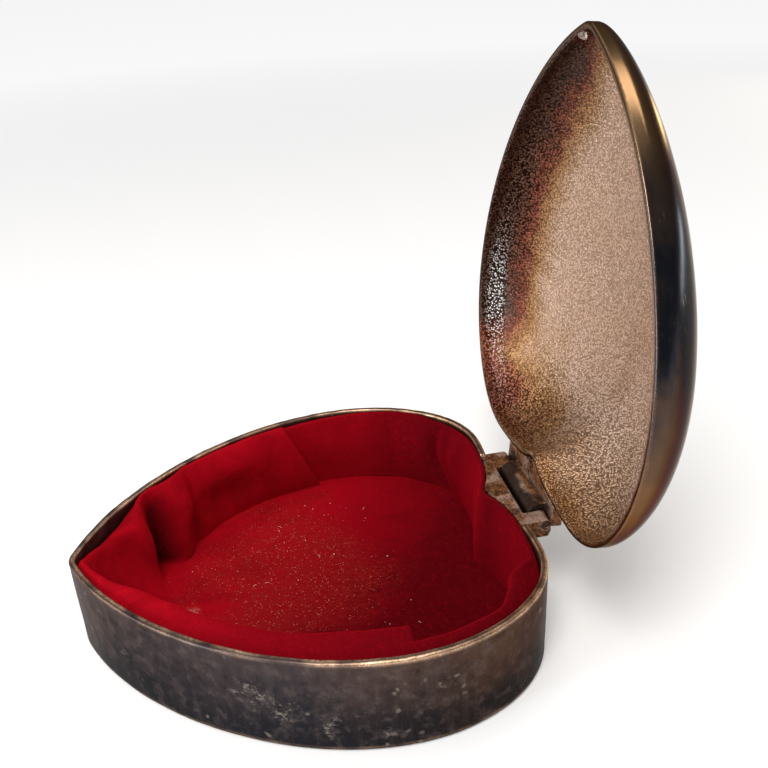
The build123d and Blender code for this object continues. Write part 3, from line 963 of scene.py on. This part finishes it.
def strip(name, node, stations, slant_start, slant_end, folds):
    """A velvet strip that stands along the wall, its top folded back down behind it.

    Each station gives a distance along the outline, how far the strip's foot, middle and crest stand off the
    wall there, and its crest's height. The ends are cut on a slant: each foot lies this much further along
    than its top.
    """
    start, end = stations[0][0], stations[-1][0]
    columns = int((end - start) / 0.55)
    front_rows, back_rows = 28, 10
    base_along = np.linspace(start, end, columns + 1)
    share_along = (base_along - start) / (end - start)
    foot, middle, crest, crest_z = (eased(base_along, stations, k) for k in (1, 2, 3, 4))
    foot_z = FLOOR_Z - 0.4
    flare = 1 + 0.8 * smoothstep(4.0, 11.0, foot)
    grid = np.zeros((front_rows + back_rows + 1, columns + 1, 3))
    for row in range(front_rows + back_rows + 1):
        v = min(1.0, row / front_rows)
        u = max(0.0, (row - front_rows) / back_rows)
        along = base_along + (1 - v) * (slant_start * (1 - share_along) ** 3 + slant_end * share_along ** 3)
        off = foot * (1 - v) * (1 - 2 * v) + middle * 4 * v * (1 - v) + crest * v * (2 * v - 1)
        off = off * (1 - u) + 0.05 * u
        z = foot_z + v ** flare * (crest_z - foot_z) - u * u * (1.0 + 0.2 * crest)
        spot = np.column_stack([along, z, np.zeros(len(along))])
        off = off + (1 - u) * 0.22 * noise(spot, 7.5, 111) * math.sin(math.pi * min(1, v + 0.15))
        off = off + (1 - u) * 0.10 * noise(spot, 2.8, 113) * v
        for fold in folds:
            off = fold(along, v, off, 1 - u)
        points, square = outline_at(along)
        wall = wall_inset(z) + VELVET_THICKNESS / 2 + 0.05
        flat = points - square * wall[:, None] - softened_outward(along, 9.0) * off[:, None]
        grid[row] = np.column_stack([flat, z])
    grid = blurred(grid, 6)
    # Painted shade for the pocket beside the tip's flap, handed to the velvet's colour.
    rising = np.minimum(1.0, np.arange(len(grid)) / front_rows)[:, None]
    pocket_shade = np.exp(-((base_along - POCKET_FOOT - (POCKET_TOP - POCKET_FOOT) * rising) / POCKET_WIDTH) ** 2)
    pocket_shade *= smoothstep(0.02, 0.2, rising) * smoothstep(0.98, 0.8, rising)
    values = {"pocket_shade": 0.9 * pocket_shade.ravel()}
    piece = make_mesh(name, grid.reshape(-1, 3), band_faces(len(grid), columns + 1, False), values)
    solid = piece.modifiers.new("thickness", "SOLIDIFY")
    solid.thickness = VELVET_THICKNESS * MM
    solid.offset = 0.0
    solid.use_even_offset = True
    smooth = piece.modifiers.new("round", "SUBSURF")
    smooth.levels = 1
    apply_modifiers(piece)
    piece.data.shade_smooth()
    install(piece, VELVET_WALL, "base", node)


def bulge(centre, spread, height_centre, height_spread, amount):
    """A soft swelling of a strip towards the tray, or a hollow if the amount is negative."""
    def shape(along, v, off, fade):
        a = np.exp(-((along - centre) / spread) ** 2)
        return off + fade * amount * a * math.exp(-((v - height_centre) / height_spread) ** 2)
    return shape


def crease(foot_at, top_at, bend, width, amount):
    """A narrow fold running up a strip from one place on its foot to another at its top."""
    def shape(along, v, off, fade):
        at = foot_at + (top_at - foot_at) * v + bend * math.sin(math.pi * v)
        rise = math.sin(math.pi * min(1.0, 0.12 + 0.8 * v))
        return off + fade * amount * rise * np.exp(-((along - at) / width) ** 2)
    return shape


def pinch(foot_at, top_at, width, share):
    """A pocket where the strip is drawn back to the wall, in front and behind alike."""
    def shape(along, v, off, fade):
        at = foot_at + (top_at - foot_at) * v
        return off * (1 - share * np.exp(-((along - at) / width) ** 2))
    return shape


FAR_SEAM = -66.0
NEAR_SEAM = 80.0
LOBE_SEAM = 116.0


def front_strip():
    """Round the tip: sagging off the left wall, bridging the corner, and leaning in along the right wall."""
    # distance, foot, middle, crest, crest height
    stations = [
        (FAR_SEAM, 2.8, 3.6, 1.3, 20.0),
        (-50, 2.4, 3.4, 0.4, 20.1),
        (-40, 2.8, 3.2, 0.3, 20.1),
        (-32, 4.4, 4.8, 0.5, 20.1),
        (-26, 6.8, 6.4, 0.9, 20.0),
        (-21, 9.0, 5.4, 1.6, 19.2),
        (-16, 11.0, 5.8, 2.4, 18.2),
        (-10, 11.5, 6.6, 2.6, 18.0),
        (-4, 11.5, 6.4, 1.5, 18.8),
        (2, 11.5, 6.2, 0.8, 19.7),
        (10, 11.0, 7.0, 2.0, 20.1),
        (20, 8.4, 7.0, 4.8, 20.2),
        (36, 3.5, 4.6, 5.6, 20.1),
        (54, 2.0, 4.0, 6.0, 20.1),
        (68, 1.6, 4.4, 7.4, 20.1),
        (NEAR_SEAM, 1.6, 4.4, 7.6, 20.0),
    ]
    folds = [
        bulge(-18.5, 3.4, 0.85, 0.34, 3.0),
        bulge(-32.5, 4.2, 0.74, 0.30, 3.4),
        pinch(POCKET_FOOT, POCKET_TOP, 3.3, 0.97),
        crease(-35.0, -38.0, 1.0, 2.4, -1.8),
        bulge(-50.0, 11.0, 0.82, 0.20, 1.5),
        bulge(-48.0, 12.0, 0.38, 0.22, -1.3),
    ]
    strip("velvet_front", "front_velvet_strip", stations, -8.0, 1.5, folds)


def side_strip():
    """Round the outside of the right lobe, its far end curling off the wall."""
    stations = [
        (NEAR_SEAM - 3, 1.0, 1.8, 3.6, 19.4),
        (85, 1.0, 1.8, 3.2, 19.6),
        (93, 1.0, 1.6, 2.4, 20.0),
        (100, 1.0, 1.8, 2.2, 20.0),
        (106, 1.2, 2.6, 3.8, 20.0),
        (112, 1.2, 3.2, 5.0, 19.9),
        (LOBE_SEAM, 1.2, 2.8, 4.0, 19.6),
        (LOBE_SEAM + 3, 1.0, 2.2, 1.4, 19.4),
    ]
    strip("velvet_side", "side_velvet_strip", stations, 0.0, 2.0, [])


def back_strip():
    """Across the cleft and round the left lobe, a little below the rim in places."""
    stations = [
        (LOBE_SEAM - 2, 0.8, 1.4, 0.8, 18.2),
        (120, 0.9, 1.4, 0.4, 18.6),
        (127, 1.0, 1.2, 0.2, 19.6),
        (134, 1.0, 1.0, 0.1, 20.1),
        (141, 1.2, 1.2, 0.1, 20.2),
        (152, 1.2, 1.4, 0.1, 20.1),
        (164, 1.4, 1.8, 0.2, 20.0),
        (172, 1.6, 2.2, 0.4, 19.5),
        (178, 1.8, 2.4, 0.5, 19.3),
        (186, 2.0, 2.6, 0.2, 20.0),
        (198, 2.0, 2.4, 0.3, 19.8),
        (208, 1.6, 2.0, 0.3, 19.4),
        (ROUND + FAR_SEAM + 4, 1.2, 1.4, 0.2, 19.0),
    ]
    folds = [
        crease(172.0, 178.0, 3.5, 1.8, -1.6),
        bulge(169.0, 4.5, 0.7, 0.3, 1.0),
        bulge(183.0, 5.0, 0.6, 0.35, 1.0),
        crease(190.0, 193.0, 1.0, 2.5, -0.9),
    ]
    strip("velvet_back", "back_velvet_strip", stations, 0.0, -8.0, folds)


def specks(rng, points, faces):
    """Flat little crumbs, strewn over the floor."""
    z = FLOOR_Z + 0.02
    for _ in range(110):
        angle = rng.uniform(0, 2 * math.pi)
        spread = math.sqrt(rng.random())
        x = -4 + 30 * spread * math.cos(angle)
        y = -2 + 27 * spread * math.sin(angle)
        size = rng.uniform(0.04, 0.10) if rng.random() < 0.94 else rng.uniform(0.12, 0.2)
        first = len(points)
        corners = rng.randint(5, 7)
        for k in range(corners):
            a = 2 * math.pi * k / corners + rng.uniform(-0.3, 0.3)
            r = size * rng.uniform(0.6, 1.2)
            points.append((x + r * math.cos(a), y + r * math.sin(a), z + rng.uniform(-0.02, 0.05)))
        points.append((x, y, z + size * 0.8))
        points.append((x, y, z - size * 0.5))
        for k in range(corners):
            n = (k + 1) % corners
            faces.append((first + k, first + n, first + corners))
            faces.append((first + n, first + k, first + corners + 1))


def fibres(rng, points, faces):
    """Short bent threads, square in section, lying on the pile."""
    thickness = 0.03
    bends = 7
    for _ in range(7):
        x, y = rng.uniform(-26, 26), rng.uniform(-24, 26)
        way = rng.uniform(0, math.pi)
        length = rng.uniform(0.5, 1.3)
        first = len(points)
        for k in range(bends):
            t = k / (bends - 1)
            bent = way + 0.35 * math.sin(t * 3 + way)
            px = x + length * (t - 0.5) * math.cos(bent)
            py = y + length * (t - 0.5) * math.sin(bent)
            pz = FLOOR_Z + 0.08 + 0.12 * math.sin(t * math.pi)
            for a in np.arange(4) * math.pi / 2:
                side = thickness * math.cos(a)
                points.append((px + side * math.sin(way), py - side * math.cos(way),
                               pz + thickness * math.sin(a)))
        for row in range(first, first + 4 * (bends - 1), 4):
            for c in range(4):
                d = (c + 1) % 4
                faces.append((row + c, row + d, row + 4 + d, row + 4 + c))
        last = first + 4 * (bends - 1)
        faces.append((first, first + 1, first + 2, first + 3))
        faces.append((last + 3, last + 2, last + 1, last))


def dust():
    """Specks and short fibres of lint on the floor's velvet."""
    rng = random.Random(SEED)
    points = []
    faces = []
    specks(rng, points, faces)
    fibres(rng, points, faces)
    install(make_mesh("floor_lint", points, faces), LINT, "base")


# --- Build ---

paint(frame["nodes"]["hinge_pin"], PIN_METAL)
paint(frame["nodes"]["floor_card"], CARD)

base_shell()
casting("base_casting", "base_hinge_plate", "base", (0, 0, 1))
lid_shell()
lid_solder()
casting("lid_casting", "lid_hinge_plate", "lid", (0, -0.75, 0.66))
floor_velvet()
front_strip()
side_strip()
back_strip()
dust()

# --- Studio ---

def studio_floor():
    """A plain pale floor, large enough to fill the view."""
    half = 4000.0
    corners = ((-half, -half), (half, -half), (half, half), (-half, half))
    piece = make_mesh("studio_floor", [(x, y, -0.02) for x, y in corners], [(0, 1, 2, 3)])
    p = Paint("studio_floor")
    away = p.add("ShaderNodeVectorMath", Vector=p.position())
    away.operation = "LENGTH"
    far = p.range(away.outputs["Value"], 0.16, 0.75)
    p.set(Base_Color=p.mix(far, (0.70, 0.70, 0.70), (0.10, 0.10, 0.10)), Roughness=0.9)
    p.set(Emission_Color=(1.0, 1.0, 1.0), Emission_Strength=p.range(far, 0.0, 1.0, 0.16, 0.86))
    paint(piece, p.material)


def area_light(name, place, target, size, power, colour):
    """A soft rectangular light aimed at a point; places are in millimetres."""
    data = bpy.data.lights.new(name, "AREA")
    data.shape = "RECTANGLE"
    data.size, data.size_y = size[0] * MM, size[1] * MM
    data.energy = power
    data.color = colour
    lamp = bpy.data.objects.new(name, data)
    bpy.context.scene.collection.objects.link(lamp)
    lamp.location = Vector(place) * MM
    lamp.rotation_mode = "QUATERNION"
    lamp.rotation_quaternion = (Vector(target) - Vector(place)).to_track_quat("-Z", "Y")


def studio_world():
    """Pale surroundings for the camera and dimmer ones for reflections, as in a room with soft boxes."""
    world = bpy.data.worlds.new("studio")
    bpy.context.scene.world = world
    world.use_nodes = True
    tree = world.node_tree
    seen = tree.nodes["Background"]
    seen.inputs["Color"].default_value = (0.95, 0.95, 0.95, 1)
    mirrored = tree.nodes.new("ShaderNodeBackground")
    mirrored.inputs["Color"].default_value = (0.22, 0.22, 0.24, 1)
    path = tree.nodes.new("ShaderNodeLightPath")
    mix = tree.nodes.new("ShaderNodeMixShader")
    tree.links.new(path.outputs["Is Camera Ray"], mix.inputs["Fac"])
    tree.links.new(mirrored.outputs[0], mix.inputs[1])
    tree.links.new(seen.outputs[0], mix.inputs[2])
    tree.links.new(mix.outputs[0], tree.nodes["World Output"].inputs["Surface"])


CAMERA_AZIMUTH = math.radians(79.59)
CAMERA_ELEVATION = math.radians(26.94)
CAMERA_ROLL = math.radians(-3.57)
CAMERA_PLACE = (170.02, -11.15, 136.59)
CAMERA_LENS = 46.96


def camera():
    """The view from the box's right, a little above the rim, looking into the tray and the open lid."""
    a, e = CAMERA_AZIMUTH, CAMERA_ELEVATION
    back = Vector((math.sin(a) * math.cos(e), -math.cos(a) * math.cos(e), math.sin(e)))
    right = (-back).cross(Vector((0, 0, 1))).normalized()
    up = right.cross(-back)
    c, s = math.cos(CAMERA_ROLL), math.sin(CAMERA_ROLL)
    right, up = c * right + s * up, c * up - s * right
    data = bpy.data.cameras.new("camera")
    data.lens = CAMERA_LENS
    data.sensor_width = 36.0
    data.clip_start, data.clip_end = 0.005, 50.0
    view = bpy.data.objects.new("camera", data)
    bpy.context.scene.collection.objects.link(view)
    turn = Matrix((right, up, back)).transposed().to_4x4()
    view.matrix_world = Matrix.Translation(Vector(CAMERA_PLACE) * MM) @ turn
    bpy.context.scene.camera = view


studio_floor()
studio_world()
area_light("key", (330, -120, 560), (0, -5, 10), (260, 260), 3.2, (1.0, 0.97, 0.93))
area_light("window", (240, -540, 120), (-42, 57, 45), (90, 320), 1.6, (0.74, 0.87, 1.0))
area_light("side", (600, -300, 170), (40, 0, 20), (60, 200), 0.7, (0.90, 0.95, 1.0))
area_light("glow", (-76, 420, 554), (14, 62, 104), (150, 240), 1.0, (1.0, 0.92, 0.80))
area_light("glint", (-413, 485, 66), (19, 65, 96), (70, 40), 0.18, (1.0, 0.86, 0.5))
area_light("lamp", (-127, 595, 37), (30, 63, 82), (260, 26), 0.5, (0.80, 0.90, 1.0))
area_light("wall", (60, -950, 330), (0, 40, 50), (900, 560), 6.0, (1.0, 0.95, 0.88))
area_light("top", (-100, 0, 1100), (0, 20, 20), (1200, 1200), 5.0, (1.0, 1.0, 1.0))
bpy.context.scene.view_settings.view_transform = "Standard"
camera()
